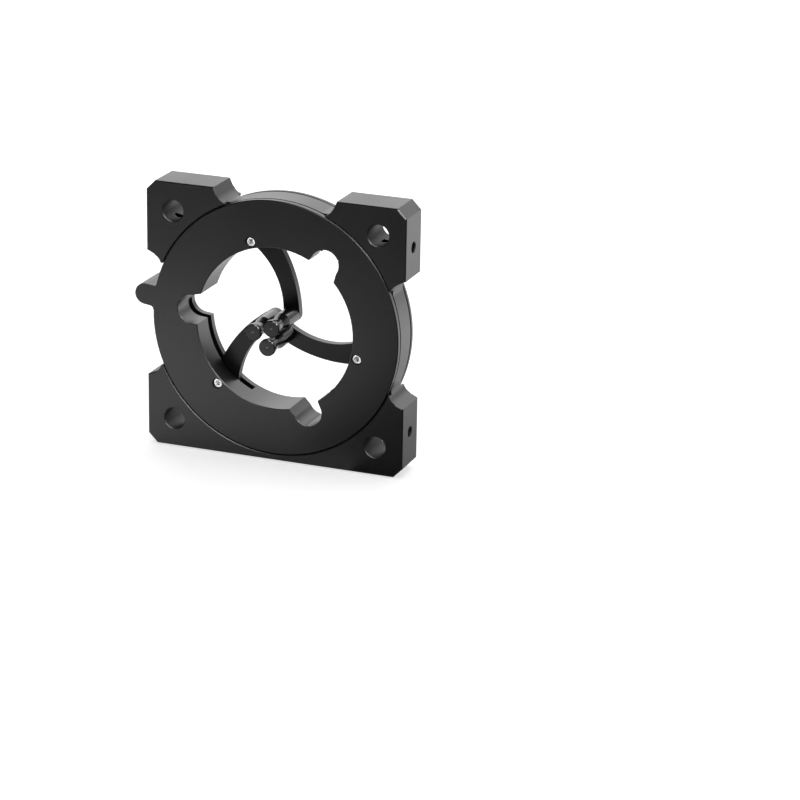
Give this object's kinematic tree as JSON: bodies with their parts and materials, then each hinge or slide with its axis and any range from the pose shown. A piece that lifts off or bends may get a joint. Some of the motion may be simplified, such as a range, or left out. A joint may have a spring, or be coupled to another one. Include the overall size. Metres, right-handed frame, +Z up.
{
  "type": "self-centring cage lens mount",
  "caption": "Square cage plate with a lugged ring that swings curved arms inward, so that their grooved posts centre and grip a round lens.",
  "frame": {"origin": "mouth of the post hole, in the middle of the plate's flat lower side and half way through its thickness", "axes": "+X to the right as seen from the front, +Y to the back along the optical axis, +Z up; the optical axis is 38 mm above the origin"},
  "size_m": [0.0796, 0.0189, 0.076],
  "materials": {
    "plate": "black anodised, satin",
    "ring": "black anodised, satin",
    "arms": "black anodised, satin",
    "posts": "black anodised, turned",
    "screws": "stainless",
    "glide_rings": "low-friction plastic"
  },
  "bodies": {
    "plate": {"frame": "plate", "front_glide_ring": "glide_rings", "rear_glide_ring": "glide_rings", "rod_screw_upper_left": "screws", "rod_screw_upper_right": "screws", "rod_screw_lower_left": "screws", "rod_screw_lower_right": "screws"},
    "ring": {"front_ring": "ring", "back_ring": "ring", "pivot_screw_1": "screws", "pivot_screw_2": "screws", "pivot_screw_3": "screws", "ring_screw_1": "screws", "ring_screw_2": "screws", "ring_screw_3": "screws"},
    "swing_arm_1": {"arm_1": "arms", "post_1": "posts"},
    "swing_arm_2": {"arm_2": "arms", "post_2": "posts"},
    "swing_arm_3": {"arm_3": "arms", "post_3": "posts"}
  },
  "joints": [
    {"name": "ring_turn", "type": "hinge", "parent": "plate", "child": "ring", "pos_m": [0, 0, 0.038], "axis": [0, 1, 0], "range_deg": [0, 10]},
    {"name": "arm_1_swing", "type": "hinge", "parent": "ring", "child": "swing_arm_1", "pos_m": [-0.00713, 0, 0.06175], "axis": [0, -1, 0], "range_deg": [0, 56]},
    {"name": "arm_2_swing", "type": "hinge", "parent": "ring", "child": "swing_arm_2", "pos_m": [0.02413, 0, 0.03229], "axis": [0, -1, 0], "range_deg": [0, 56]},
    {"name": "arm_3_swing", "type": "hinge", "parent": "ring", "child": "swing_arm_3", "pos_m": [-0.01701, 0, 0.01995], "axis": [0, -1, 0], "range_deg": [0, 56]}
  ],
  "couplings": [
    {"joint": "arm_1_swing", "follows": "ring_turn", "ratio": 5.6},
    {"joint": "arm_2_swing", "follows": "ring_turn", "ratio": 5.6},
    {"joint": "arm_3_swing", "follows": "ring_turn", "ratio": 5.6}
  ]
}
